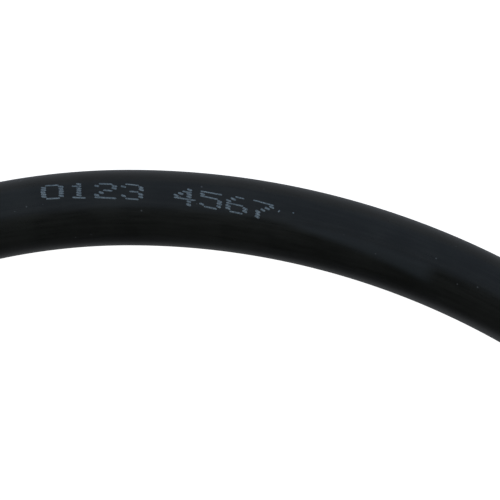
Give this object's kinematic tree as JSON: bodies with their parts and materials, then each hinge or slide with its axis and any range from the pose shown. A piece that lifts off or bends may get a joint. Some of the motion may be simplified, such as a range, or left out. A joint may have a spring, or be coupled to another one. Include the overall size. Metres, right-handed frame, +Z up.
{
  "type": "fuel hose",
  "caption": "Plain black rubber fuel hose with a round bore, cut square at both ends and lying in a low open coil.",
  "frame": {"origin": "under the middle of the coil's box, on the surface that it lies on", "axes": "+Z up from the surface, +X along the coil's longer side, +Y towards the long gentle bend"},
  "size_m": [0.212, 0.1836, 0.0284],
  "materials": {
    "hose_rubber": "smooth extruded black rubber with a soft satin sheen",
    "print_ink": "thin dull blue-grey dot ink"
  },
  "bodies": {
    "root": {"hose": "hose_rubber"}
  },
  "joints": []
}
